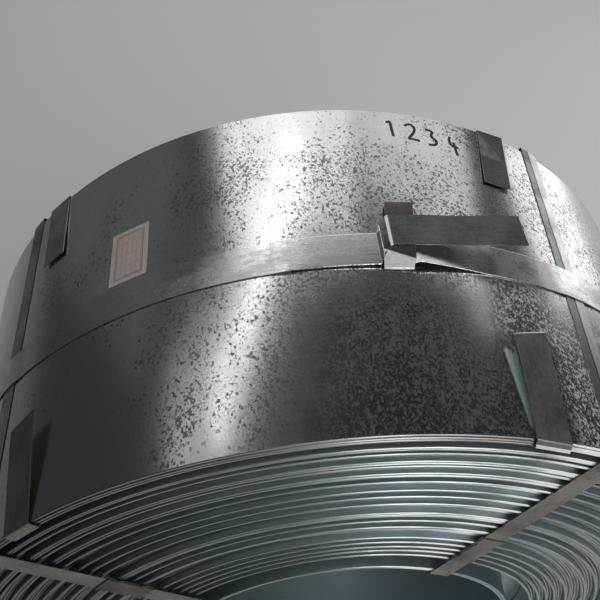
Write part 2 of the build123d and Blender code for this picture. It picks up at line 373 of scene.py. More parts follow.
def zinc_finish(colours):
    """Galvanised strip: matt flecks in ragged patches on smooth zinc, with faint rolling lines."""
    zinc = Finish("galvanised_zinc")
    where = zinc.place()
    x, y, z = zinc.parts(where)
    turn = z.math("ARCTAN2", x)
    inputs = {"Vector": where, "Scale": 900.0, "Detail": 2.0}
    ragged = zinc.node("ShaderNodeTexNoise", inputs, "Color")
    inputs = {0: ragged, 1: (0.0016, 0.0016, 0.0016), 2: zinc.place(scale=(1.0, 0.72, 1.0))}
    shaken = zinc.node("ShaderNodeVectorMath", inputs, operation="MULTIPLY_ADD")
    crystal = zinc.cells(shaken, 640.0)
    grit = zinc.cells(shaken, 1350.0)
    patches = zinc.noise(where, 15.0, 5.0, 0.62, 0.6)
    stretched = zinc.place(scale=(1.0, 0.5, 1.0), move=(3.0, 0.0, 0.0))
    cloud = zinc.noise(stretched, 34.0, 5.0, 0.6, 0.3)
    lines = zinc.noise(zinc.place(scale=(2.0, 500.0, 2.0)), 1.0, 3.0, 0.6)
    # How densely the flecks crowd. A slanting band left of the middle is nearly clean.
    clean = 1 - (x - y * 0.22 + 0.032).math("ABSOLUTE").step(0.010, 0.026)
    spread = patches + x.step(-0.02, 0.03) * (1 - y.step(-0.03, 0.02)) * 0.09
    spread = spread + x.step(-0.14, -0.07) * 0.20 - y.step(0.07, 0.16) * 0.12 - clean * 0.16
    dense = (spread - 0.20).step(0.24, 0.76) * 0.42
    fleck = (dense - crystal).step(-0.06, 0.05)
    fleck = fleck.math("MAXIMUM", (dense * 0.85 - grit).step(-0.06, 0.05) * 0.75)
    # Where the matt flecks show pale on darker zinc, round the right near tab
    pale = (1 - turn.beyond(66.5, 73.0)) * turn.beyond(22.0, 46.0)
    pale = pale * (1 - y.step(-0.040, -0.012))
    pale = pale * (1 - turn.beyond(60.0, 63.0) * (1 - y.step(-0.100, -0.070)))
    # Painted shade: the near half in the middle is darkened, and its flecks are made a little paler
    near_middle_shade = x.step(-0.03, 0.04) * (1 - y.step(-0.060, -0.020)) * (1 - pale)
    # A painted reflection beside the right near tab: a pale teal wedge, which widens as it rises,
    # stands in for the tab's underside mirrored in the zinc
    rise = (y + 0.162) / 0.070
    aside = ((turn - math.radians(67.2)) * OUTER).math("ABSOLUTE")
    tab_reflection = (rise * 0.0031 + 0.0023 - aside + (grit - 0.5) * 0.0008).step(-0.0008, 0.0012)
    tab_reflection = tab_reflection * rise.step(-0.02, 0.10)
    tab_reflection = tab_reflection * (1 - (rise + (crystal - 0.4) * 0.1).step(0.93, 1.02))
    fleck = fleck * (1 - tab_reflection)
    tone = (cloud - 0.5) * 0.55 + (grit - 0.5) * 0.12 + (lines - 0.5) * 0.10 + 0.12
    colour = zinc.mix(tone, colours.zinc_light, colours.zinc_bloom)
    colour = zinc.mix(near_middle_shade * 0.75, colour, (0.19, 0.185, 0.18))
    matt = zinc.mix(pale * 0.8 + near_middle_shade * 0.10, colours.zinc_dark, (0.62, 0.65, 0.64))
    colour = zinc.mix(fleck * 0.9, colour, matt)
    reflected_teal = zinc.mix(cloud * 0.5 + grit * 0.5, (0.50, 0.63, 0.62), (0.26, 0.34, 0.33))
    colour = zinc.mix(tab_reflection * 0.9, colour, reflected_teal)
    # Painted shade: the zinc is darkened high on the left flank
    colour = zinc.mix(left_flank_shade(x, z) * 0.86, colour, (0.14, 0.138, 0.127))
    rough = 0.19 + fleck * 0.07 + tab_reflection * 0.3 + (cloud - 0.5) * 0.14 + (lines - 0.5) * 0.05
    zinc.bump(crystal * 0.4 + grit * 0.2 + patches * 0.4, 0.06, 0.0004)
    metallic = 1 - fleck * (pale * 0.45 + near_middle_shade * 0.16 + 0.12) - tab_reflection * 0.7
    return zinc.draw(colour, rough, metallic)


def turn_face_finish():
    """The strip's faces between the turns: clean zinc, with painted shade on the left."""
    face = Finish("turn_faces")
    where = face.place()
    cloud = face.noise(where, 60.0, 4.0, 0.6, 0.3)
    fine = face.noise(face.place(scale=(3.0, 400.0, 3.0)), 1.0, 3.0, 0.6)
    # Painted shade: the faces darken towards the left
    darkening = (0 - face.parts(where)[0]).step(0.04, 0.26)
    colour = face.mix(cloud * 0.7 + fine * 0.3, (0.47, 0.56, 0.585), (0.29, 0.355, 0.375))
    colour = face.mix(darkening * 0.85, colour, (0.07, 0.095, 0.10))
    face.bump(cloud, 0.05, 0.0004)
    return face.draw(colour, 0.3 + fine * 0.1, 0.9)


def slit_edge_finish(colours):
    """The sheared edge of the strip: bright, drawn round the coil, with small nicks."""
    edge = Finish("slit_edge")
    x, y, z = edge.parts(edge.place())
    turn = z.math("ARCTAN2", x)
    radius = ((x * x) + (z * z)) ** 0.5
    inputs = {"W": radius, "Scale": 2600.0, "Detail": 2.0}
    rings = edge.node("ShaderNodeTexNoise", inputs, "Fac", noise_dimensions="1D")
    inputs = {"X": turn * 9.0, "Y": radius * 420.0, "Z": y * 60.0}
    nicks = edge.noise(edge.node("ShaderNodeCombineXYZ", inputs), 1.0, 3.0, 0.55, 0.1)
    near_end = 1 - y.step(-0.10, -0.05)
    shade = (rings * 0.45 + nicks * 0.55).step(0.44, 0.74)
    colour = edge.mix(shade, colours.edge_light, (0.15, 0.155, 0.155))
    # Painted shade: the edges darken towards the left
    colour = edge.mix((0 - x).step(0.04, 0.26) * 0.75, colour, (0.10, 0.11, 0.11))
    # Painted highlight: edges made bright beside the right bore strap, as glints
    strap = math.radians(EYE_ANGLES["right"])
    beside = z * math.cos(strap) - x * math.sin(strap) + (nicks - 0.5) * 0.03
    outward = (x * math.cos(strap) + z * math.sin(strap)).step(0.05, 0.10) * near_end
    painted_glint = (1 - beside.step(0.026, 0.056)) * beside.step(0.004, 0.008) * outward
    colour = edge.mix(painted_glint, colour, (0.97, 0.98, 0.98))
    # Painted shade: the three outer turns are darkened beside the right hook
    loose = radius.step(OUTER - 3.4 * LOOSE_TURN, OUTER - 3.1 * LOOSE_TURN)
    hook_shade = loose * x.step(0.0, 0.11) * turn.beyond(66.0, 67.0) * near_end
    colour = edge.mix(hook_shade * 0.85, colour, (0.11, 0.105, 0.10))
    edge.bump(rings * 0.6 + nicks * 0.4, 0.12, 0.0003)
    return edge.draw(colour, 0.32 + shade * 0.16, 1 - painted_glint * 0.8)


def strap_finish(name, light, dark, rough, metal, rust=0.0, rim=None, marks=(1.0, 9.0, 1.0)):
    """Steel strapping: drawn lengthways, worn dull in patches, and rusted or given a painted rim
    highlight where asked.

    A rim is three factors of x, y and z and the start of a measure across the strap, and where
    on it the painted highlight along the rim begins. A strap with a rim also has painted shade high
    on the left flank.
    """
    strap = Finish(name)
    where = strap.place()
    broad, grain = strap.wear(where)
    drawn = strap.noise(strap.place(scale=marks), 60.0, 4.0, 0.6, 0.6)
    worn = (broad * 0.55 + grain * 0.3 + drawn * 0.25).step(0.40, 0.72)
    colour = strap.mix(worn, light, dark)
    roughness = rough + worn * (0.16 if rust else 0.2)
    metallic = metal
    if rim:
        factors, start, begin = rim
        x, y, z = strap.parts(where)
        side = x * factors[0] + y * factors[1] + z * factors[2] + start
        # Painted shade: the strap is darkened high on the left flank
        colour = strap.mix(left_flank_shade(x, z) * 0.8, colour, (0.16, 0.158, 0.148))
        # Painted highlight along the strap's rim, fading out to the left
        rim_highlight = side.step(begin - 0.0003, begin + 0.0003) * x.step(-0.09, 0.02)
        colour = strap.mix(rim_highlight, colour, (0.93, 0.94, 0.95))
        metallic = metal - rim_highlight * 0.7
    if rust:
        spots = strap.noise(where, 140.0, 6.0, 0.7, 0.8) + (broad - 0.5) * 0.5
        spots = spots.step(0.60 - rust * 0.3, 0.78 - rust * 0.3)
        colour = strap.mix(spots, colour, (0.075, 0.043, 0.024))
        roughness = roughness + spots * 0.35
        metallic = metal - spots * 0.75
    strap.bump(grain * 0.6 + drawn * 0.4, 0.10, 0.0004)
    return strap.draw(colour, roughness, metallic)


def steel(name, **more):
    return strap_finish(name, *STEELS[name], **more)


def creased_finish(side):
    """Bore strap steel with a crease along it: painted shade in the crease, and a painted highlight
    on one side of it.
    """
    strap = Finish("creased_strap_steel")
    where = strap.place()
    x, y, z = strap.parts(where)
    turn = math.radians(EYE_ANGLES[side])
    lean = -math.tan(math.radians(EYE_SLANTS[side]))
    across = x * math.sin(turn) - z * math.cos(turn) - (y - NEAR) * lean
    broad, grain = strap.wear(where)
    edge = across + (broad - 0.5) * 0.004
    outside = (z - 0.1).step(0, 0.01) * (y + WIDTH / 2 - 0.001).step(0, 0.001)
    # Painted highlight: the pale side of the crease
    bright = edge.step(-0.0006, 0.0006) * outside
    # Painted shade: a dark line in the crease, which the bump also sinks
    crease = (1 - (edge + 0.0012).math("ABSOLUTE").step(0.0003, 0.0009)) * outside
    worn = (broad * 0.6 + grain * 0.4).step(0.40, 0.66)
    # Painted light: one steel given other tones on the end than on the round side
    on_end = strap.mix(worn, (0.25, 0.235, 0.21), (0.13, 0.12, 0.105))
    on_round = strap.mix(worn, (0.25, 0.275, 0.28), (0.13, 0.145, 0.15))
    pale = strap.mix(worn, (0.68, 0.70, 0.69), (0.46, 0.48, 0.47))
    colour = strap.mix(bright, strap.mix(outside, on_end, on_round), pale)
    colour = strap.mix(crease, colour, (0.03, 0.035, 0.035))
    strap.bump(grain - crease, 0.2, 0.0004)
    return strap.draw(colour, 0.30 + worn * 0.14, 0.9)


def paper_finish(colours):
    """Label stock: off-white paper with a printed double border and empty ruled boxes."""
    paper = Finish("ruled_label_paper")
    u, v = paper.parts(paper.node("ShaderNodeTexCoord", output="UV"))[:2]
    # Grime on the paper
    darkening = paper.noise(paper.place(), 180.0, 5.0, 0.65, 0.3)
    stains = paper.noise(paper.place(), 40.0, 3.0, 0.5)

    def line(value, at, half):
        """A printed line where a coordinate comes within half a line's width of a place."""
        return 1 - (value - at).math("ABSOLUTE").step(half * 0.6, half * 1.3)

    def within(value, half):
        """1 where a coordinate lies within half a width of the middle."""
        low, high, soft = 0.5 - half, 0.5 + half, 0.004
        return value.step(low - soft, low + soft) * (1 - value.step(high - soft, high + soft))

    def border(wide, high, side, top):
        """A printed rectangle of these half sizes, with sides and top of these thicknesses."""
        upright = line(across, wide, side) * within(v, high)
        return upright + line(upward, high, top) * within(u, wide)

    across = (u - 0.5).math("ABSOLUTE")
    upward = (v - 0.5).math("ABSOLUTE")
    inside = within(u, 0.37) * within(v, 0.42)
    borders = border(0.37, 0.42, 0.012, 0.009) + border(0.33, 0.395, 0.007, 0.005)
    columns = sum(line(u, at, 0.006) for at in (0.30, 0.44, 0.58, 0.70))
    rows = sum(line(v, at, half) for at, half in ((0.30, 0.004), (0.52, 0.005), (0.74, 0.004)))
    boxes = (columns * within(v, 0.395) + rows * within(u, 0.33)) * inside
    ink = (borders + boxes * 0.6).math("MINIMUM", 1.0) * (0.72 + darkening * 0.35)
    sheet = paper.mix((darkening - 0.35) * 1.2, colours.paper, (0.34, 0.31, 0.28))
    sheet = paper.mix(inside * 0.35 + (stains - 0.5) * 0.3, sheet, (0.42, 0.30, 0.27))
    colour = paper.mix(ink, sheet, colours.label_ink)
    paper.bump(darkening, 0.2, 0.0003)
    return paper.draw(colour, 0.62 + stains * 0.15)


def ink_finish():
    """Marker ink, thin where the pen ran fast."""
    ink = Finish("marker_ink")
    streak = ink.noise(ink.place(), 500.0, 4.0, 0.6)
    colour = ink.mix(streak.step(0.45, 0.75), (0.008, 0.008, 0.010), (0.035, 0.035, 0.04))
    return ink.draw(colour, 0.4 + streak * 0.2)


def leave_edit():
    bpy.ops.object.mode_set(mode="OBJECT")


def deselect():
    if bpy.context.object and bpy.context.object.mode != "OBJECT":
        leave_edit()
    bpy.ops.object.select_all(action="DESELECT")


def activate(*objects):
    deselect()
    for piece in objects:
        piece.select_set(True)
    bpy.context.view_layer.objects.active = objects[0]


def edit_all(kind=None):
    """Opens the active object for editing, with all of it selected."""
    bpy.ops.object.mode_set(mode="EDIT")
    if kind:
        bpy.ops.mesh.select_mode(type=kind)
    bpy.ops.mesh.select_all(action="SELECT")


def apply_place(piece):
    """Moves a piece's place, turn and size into its mesh."""
    activate(piece)
    bpy.ops.object.transform_apply(location=True, rotation=True, scale=True)


def modify(piece, kind, **settings):
    """Adds a modifier, sets it up and applies it."""
    activate(piece)
    modifier = piece.modifiers.new(kind.title(), kind)
    for name, value in settings.items():
        setattr(modifier, name, value)
    bpy.ops.object.modifier_apply(modifier=modifier.name)


def soften(piece, width, angle):
    """Breaks the edges that are sharper than an angle."""
    limit = math.radians(angle)
    modify(piece, "BEVEL", width=width, segments=1, limit_method="ANGLE", angle_limit=limit)


def smooth(piece, angle):
    activate(piece)
    bpy.ops.object.shade_smooth_by_angle(angle=math.radians(angle))


def dress(piece, *finishes):
    piece.data.materials.clear()
    for finish in finishes:
        piece.data.materials.append(finish)


def hand_over(piece, name, slot, *nodes):
    """Names a finished piece and lets it ride on the frame. The slot is not used."""
    piece.name = name
    piece.data.name = name
    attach(piece, "root")
    if nodes:
        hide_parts(*nodes)


def edge_between(start, end):
    """A new object whose mesh is one straight edge, made from a plane with its far side deleted."""
    deselect()
    bpy.ops.mesh.primitive_plane_add(size=1.0, location=(0, 0, 0))
    piece = bpy.context.object
    edit_all("VERT")
    bpy.ops.mesh.select_all(action="DESELECT")
    leave_edit()
    for corner in piece.data.vertices:
        corner.select = corner.co.x > 0
    bpy.ops.object.mode_set(mode="EDIT")
    bpy.ops.mesh.delete(type="VERT")
    leave_edit()
    for corner, place in zip(piece.data.vertices, (start, end)):
        corner.co = place
    return piece


def drawn_strip(path, low, high, side, settle=None):
    """A strip of strapping: an edge laid across the path and extruded from point to point.

    Its thickness goes to one side, 1 or -1, once settle has moved its points.
    """
    piece = edge_between(path[0] + low, path[0] + high)
    edit_all("EDGE")
    for before, after in zip(path, path[1:]):
        bpy.ops.mesh.extrude_region_move(TRANSFORM_OT_translate={"value": after - before})
    leave_edit()
    if settle:
        for corner in piece.data.vertices:
            corner.co = settle(corner.co)
    modify(piece, "SOLIDIFY", thickness=STRAP_THICKNESS, offset=side, use_even_offset=True)
    activate(piece)
    edit_all()
    bpy.ops.mesh.normals_make_consistent(inside=False)
    soften(piece, 0.2 * MM, 50.0)
    smooth(piece, 35.0)
    return piece


def rounded(points, radius, steps):
    """A path with its corners turned into arcs."""
    path = [points[0]]
    for before, corner, after in zip(points, points[1:], points[2:]):
        back = (before - corner).normalized()
        on = (after - corner).normalized()
        room = min((before - corner).length, (after - corner).length) * 0.49
        reach = min(radius / math.tan(back.angle(on) / 2), room)
        start, end = corner + back * reach, corner + on * reach
        for step in range(steps + 1):
            share = step / steps
            middle = corner * 2 * share * (1 - share)
            path.append(start * (1 - share) ** 2 + middle + end * share**2)
    return path + [points[-1]]


class CoilColours(bpy.types.PropertyGroup):
    """Colours of the metal and the paper"""

    zinc_light: FloatVectorProperty(
        name="Light Zinc", description="Smooth bright zinc",
        subtype="COLOR", default=(0.68, 0.685, 0.68),
    )
    zinc_dark: FloatVectorProperty(
        name="Dark Zinc", description="Matt dark crystals",
        subtype="COLOR", default=(0.125, 0.13, 0.13),
    )
    zinc_bloom: FloatVectorProperty(
        name="Zinc Bloom", description="Duller patches",
        subtype="COLOR", default=(0.30, 0.31, 0.31),
    )
    edge_light: FloatVectorProperty(
        name="Slit Edge", description="Bright sheared edge",
        subtype="COLOR", default=(0.41, 0.43, 0.44),
    )
    strap_light: FloatVectorProperty(
        name="Strap Light", description="Clean strapping",
        subtype="COLOR", default=(0.72, 0.72, 0.71),
    )
    strap_dark: FloatVectorProperty(
        name="Strap Dark", description="Dulled strapping",
        subtype="COLOR", default=(0.47, 0.47, 0.465),
    )
    paper: FloatVectorProperty(
        name="Paper", description="Label paper",
        subtype="COLOR", default=(0.43, 0.41, 0.385),
    )
    label_ink: FloatVectorProperty(
        name="Label Ink", description="Printed lines",
        subtype="COLOR", default=(0.28, 0.10, 0.09),
    )


class CoilSizes(bpy.types.PropertyGroup):
    """Sizes of the fine forms"""

    turn_gap: FloatProperty(
        name="Turn Gap", description="Air between turns",
        subtype="DISTANCE", default=0.12 * MM, min=0.0,
    )
    burr: FloatProperty(
        name="Edge Break", description="How far the strip's corners are broken",
        subtype="DISTANCE", default=0.6 * MM,
    )
    steps: IntProperty(
        name="Round Steps", description="Faces round the coil", default=144, min=48, max=160
    )
    tab_lift: FloatProperty(
        name="Tab Lift", description="How far a hooked tab springs up",
        subtype="DISTANCE", default=8.0 * MM,
    )
    seed: IntProperty(name="Seed", description="Picks how far each turn has slipped", default=7)


class StageSettings(bpy.types.PropertyGroup):
    """Floor, lamps and camera"""

    floor: FloatVectorProperty(
        name="Floor", description="Colour of the floor",
        subtype="COLOR", default=(0.82, 0.82, 0.81),
    )
    lens: FloatProperty(
        name="Lens", description="Focal length", subtype="DISTANCE_CAMERA", default=48.103
    )
    light: FloatProperty(
        name="Light", description="Factor on the power of every softbox", default=1.0, min=0.0
    )


class COIL_OT_turns(bpy.types.Operator):
    """Adds every turn of the strip, slipped in and out at both ends"""

    bl_idname = "coil.turns"
    bl_label = "Add Turns"

    def execute(self, context):
        sizes = context.scene.coil_sizes
        colours = context.scene.coil_colours
        section = self.section(context, sizes)
        sections = []

        def add(radius, slip, length, thick):
            """Adds the section of one ring, stretched by these factors."""
            ring = section.copy()
            ring.data = section.data.copy()
            ring.data.transform(Matrix.Diagonal((1.0, length, thick, 1.0)))
            ring.data.transform(Matrix.Translation((0, slip, radius)))
            context.collection.objects.link(ring)
            sections.append(ring)

        chance = random.Random(sizes.seed)
        radius = OUTER
        pitch = LOOSE_TURN
        for proud, back in TURN_RUNS:
            if proud is None:
                # The bottom of a gap: one thick ring, as far from each end as the gap is deep
                thick = back * TURN - TURN_RUNS[0][0] * (pitch - TURN)
                length = 1 - 2 * GAP_DEPTHS[back] / WIDTH
                add(radius - thick / 2, 0.0, length, thick / TURN)
                radius -= thick
                pitch = TURN
                continue
            slips = [chance.uniform(*PROUD_SLIP) for place in range(proud)]
            slips += [chance.uniform(*BACK_SLIP) for place in range(back)]
            for slip in slips:
                add(radius - TURN / 2, slip * MM, 1.0, 1.0)
                radius -= pitch
        bpy.data.objects.remove(section)
        activate(*sections)
        bpy.ops.object.join()
        wound = context.object
        edit_all()
        bpy.ops.mesh.spin(steps=sizes.steps, angle=2 * math.pi, center=(0, 0, 0), axis=(0, 1, 0))
        bpy.ops.mesh.select_all(action="SELECT")
        bpy.ops.mesh.remove_doubles(threshold=0.01 * MM)
        bpy.ops.mesh.normals_make_consistent(inside=False)
        smooth(wound, 30.0)
        dress(wound, zinc_finish(colours), slit_edge_finish(colours), turn_face_finish())
        for face in wound.data.polygons:
            if abs(face.normal.y) > 0.5 and abs(face.center.y) > FAR - 10 * MM:
                face.material_index = 1
            elif math.hypot(face.center.x, face.center.z) < OUTER - TURN / 2:
                face.material_index = 2
        hand_over(wound, "wound_turns", "galvanised_strip", "coil")
        return {"FINISHED"}

    def section(self, context, sizes):
        """The outline of one turn, with broken corners and no face."""
        deselect()
        bpy.ops.mesh.primitive_plane_add(size=1.0, rotation=(0, math.radians(90), 0))
        section = context.object
        section.scale = (TURN - sizes.turn_gap, WIDTH, 1.0)
        apply_place(section)
        edit_all()
        bpy.ops.mesh.bevel(offset=sizes.burr, segments=1, affect="VERTICES")
        bpy.ops.mesh.select_all(action="SELECT")
        bpy.ops.mesh.delete(type="ONLY_FACE")
        leave_edit()
        return section


class COIL_OT_belly_strap(bpy.types.Operator):
    """Adds the strap round the girth, lapped and folded over into a free tail"""

    bl_idname = "coil.belly_strap"
    bl_label = "Add Girth Strap"

    def execute(self, context):
        colours = context.scene.coil_colours
        low = Vector((0, BELLY_MIDDLE - BELLY_WIDTH / 2, 0))
        high = Vector((0, BELLY_MIDDLE + BELLY_WIDTH / 2, 0))
        origin = tangent_point(JOINT_ANGLE, 0, 0, 0)
        along, out = directions(JOINT_ANGLE)

        def twist(place):
            """Lifts the near edge where the strap leaves the clip."""
            away = (place - origin).dot(along)
            if place.z < 0 or away < 0:
                return place
            risen = 0.5 * ramp(away, 0.0, EDGE_HALF)
            risen += 0.5 * ramp(away, EDGE_HALF, EDGE_FULL - EDGE_HALF)
            stays = 1 - ramp(away, EDGE_FULL, EDGE_SINK)
            near_share = (BELLY_MIDDLE + BELLY_WIDTH / 2 - place.y) / BELLY_WIDTH
            return place + out * (EDGE_LIFT * risen * stays * near_share)

        # Wide steps round the coil, and narrow ones before the clip
        start = JOINT_ANGLE + LAP_ANGLE
        ring = [start + 360 * step / 240 for step in range(222)]
        while ring[-1] < JOINT_ANGLE + 360 - 1.0:
            ring.append(ring[-1] + 0.4)
        under = [round_point(OUTER + self.height(angle), angle) for angle in ring]
        girth = drawn_strip(under, low, high, 1.0, twist)

        path = self.upper_path(start)
        upper = drawn_strip(path, low, high, -1.0)
        # The girth strap's rim takes a painted highlight, and its left flank painted shade
        rim = ((0.0, 1.0, 0.0), -BELLY_MIDDLE, BELLY_WIDTH / 2 - GIRTH_RIM)
        shades = (colours.strap_light, colours.strap_dark)
        bright = strap_finish("girth_strap_steel", *shades, 0.15, 1.0, rim=rim)
        dress(girth, bright)
        dress(upper, bright, steel("tail_strap_steel"), steel("bent_strap_steel"))
        # Painted light on the lap, fold and tail: the tail takes painted shade and the bend a
        # painted highlight
        for face in upper.data.polygons:
            away = (face.center - origin).dot(along)
            raised = (face.center - origin).dot(out)
            if BEND_START < away < BEND_END and raised > BEND_HEIGHT:
                face.material_index = 2
            else:
                face.material_index = int(away > 0.4 * MM)
        hand_over(girth, "girth_strap", "strapping", "belly_strap")
        hand_over(upper, "girth_strap_tail", "strapping")
        return {"FINISHED"}

    def height(self, angle):
        """How high the strap's inner face lies above the coil at an angle."""
        lift = GIRTH_SEAT
        for side, middle in EYE_ANGLES.items():
            slant = math.radians(EYE_SLANTS[side])
            middle += math.degrees((BELLY_MIDDLE - NEAR) * math.tan(slant) / OUTER)
            half = EYE_WIDTH / 2 + BELLY_WIDTH / 2 * abs(slant)
            away = abs(arc((angle - middle + 180) % 360 - 180))
            sunk = max(0.0, away - half) * CROSSING_SLOPE
            lift = max(lift, CROSSING_RISE + GIRTH_SEAT - sunk)
        away = arc(CLIP_ANGLE - angle if angle < 180 else CLIP_ANGLE + 360 - angle)
        if away > -CLIP_HOLD:
            lift = max(lift, CLIP_RISE * (1 - ramp(away, CLIP_HOLD, CLIP_SINK)) ** 2)
        return lift

    def upper_path(self, start):
        """The path of the lap, which rises under the tail, of the fold and of the tail."""
        path = [round_point(OUTER + 0.2 * MM, start + 2.2)]
        path.append(round_point(OUTER + 1.2 * MM, start + 0.6))
        for step in range(7):
            share = step / 6
            path.append(round_point(OUTER + (1.2 + 0.8 * share**3) * MM, start - 10.6 * share))
        fold = [
            tangent_point(JOINT_ANGLE, along * MM, TAIL_SHIFT * shift, height * MM)
            for along, shift, height in FOLD_PROFILE
        ]
        fold.append(tangent_point(JOINT_ANGLE, TAIL_START, TAIL_SHIFT, TAIL_HEIGHT))
        path += rounded([path[-1]] + fold, 1.6 * MM, 4)[1:]
        for step in range(1, 23):
            share = step / 22
            along = TAIL_START + share * (TAIL_LENGTH - TAIL_START)
            height = TAIL_HEIGHT + 0.3 * MM * math.sin(share * 9.0)
            path.append(tangent_point(JOINT_ANGLE, along, TAIL_SHIFT, height))
        return path


class COIL_OT_clip(bpy.types.Operator):
    """Adds the clip of strap hooked round the girth strap beside its fold"""

    bl_idname = "coil.clip"
    bl_label = "Add Joint Clip"

    def execute(self, context):
        along, out = directions(JOINT_ANGLE)

        def spot(y, height):
            shift = CLIP_PLACE + CLIP_SLANT * y * MM
            return tangent_point(JOINT_ANGLE, shift, y * MM, height * MM)

        def fold(place):
            """Turns the fold askew, so that the lip is wide at one side and narrow at the other."""
            across = place.dot(along) - CLIP_PLACE
            raised = ramp(place.dot(out) - OUTER, 2.0 * MM, 3.0 * MM)
            ahead = ramp(-place.y, 4.0 * MM, 8.0 * MM)
            return place - Vector((0, across * CLIP_FOLD_SLANT * raised * ahead, 0))

        path = rounded([spot(*place) for place in CLIP_PROFILE], 3.0 * MM, 6)
        half = along * CLIP_WIDTH / 2
        clip = drawn_strip(path, -half, half, -1.0, fold)
        dress(clip, steel("clip_steel"), steel("clip_lip_steel"))
        # The lip faces take the painted highlight, the rest the painted shade
        for face in clip.data.polygons:
            face.material_index = int(face.normal.y < -0.2 and face.center.y < -9.0 * MM)
        hand_over(clip, "joint_clip_hook", "strapping", "joint_clip")
        return {"FINISHED"}


class COIL_OT_eye_straps(bpy.types.Operator):
    """Finishes the two straps through the bore and adds their crimped sleeves"""

    bl_idname = "coil.eye_straps"
    bl_label = "Add Bore Straps"

    def execute(self, context):
        dress(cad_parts["eye_strap_left"], steel("bore_strap_steel", rust=0.04))
        dress(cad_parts["eye_strap_right"], creased_finish("right"))
        notched = steel("notched_steel")
        for side in EYE_ANGLES:
            node = "eye_seal_" + side
            seal = self.sleeve(context, side)
            dress(seal, steel(node + "_steel", rust=SEAL_RUSTS[side]), notched)
            hand_over(seal, "crimped_seal_" + side, "seal_steel", node)
        return {"FINISHED"}

    def sleeve(self, context, side):
        """A sleeve of sheet with two rows of crimps, modelled level and turned to its strap."""
        low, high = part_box("eye_seal_" + side)
        wide = EYE_WIDTH + 1.9 * MM
        deselect()
        bpy.ops.mesh.primitive_cube_add(size=1.0)
        sleeve = context.object
        sleeve.scale = (wide, high.y - low.y, SEAL_LENGTH)
        apply_place(sleeve)
        edit_all()
        bpy.ops.mesh.subdivide(number_cuts=15)
        leave_edit()

        def off_row(z):
            """How far a height lies from the nearer row of crimps."""
            return min(abs(z - row) for row in CRIMP_ROWS)

        for corner in sleeve.data.vertices:
            crimp = max(0.0, 1 - off_row(corner.co.z) / CRIMP_REACH)
            flank = abs(corner.co.x) / (wide / 2)
            corner.co.x *= 1 - 0.2 * crimp * flank**3
            corner.co.y *= 1 - 0.35 * crimp * max(0.0, flank - 0.55)
        # Painted glints: pale steel on the notched flanks beside the crimps
        for face in sleeve.data.polygons:
            aside = abs(face.center.x) > wide * 0.36
            face.material_index = int(aside and off_row(face.center.z) < NOTCH_REACH)
        soften(sleeve, 0.25 * MM, 40.0)
        smooth(sleeve, 30.0)
        sleeve.location = round_point(SEAL_RADII[side], EYE_ANGLES[side], (low.y + high.y) / 2)
        sleeve.rotation_euler = (0, math.radians(90 - EYE_ANGLES[side]), 0)
        apply_place(sleeve)
        return sleeve


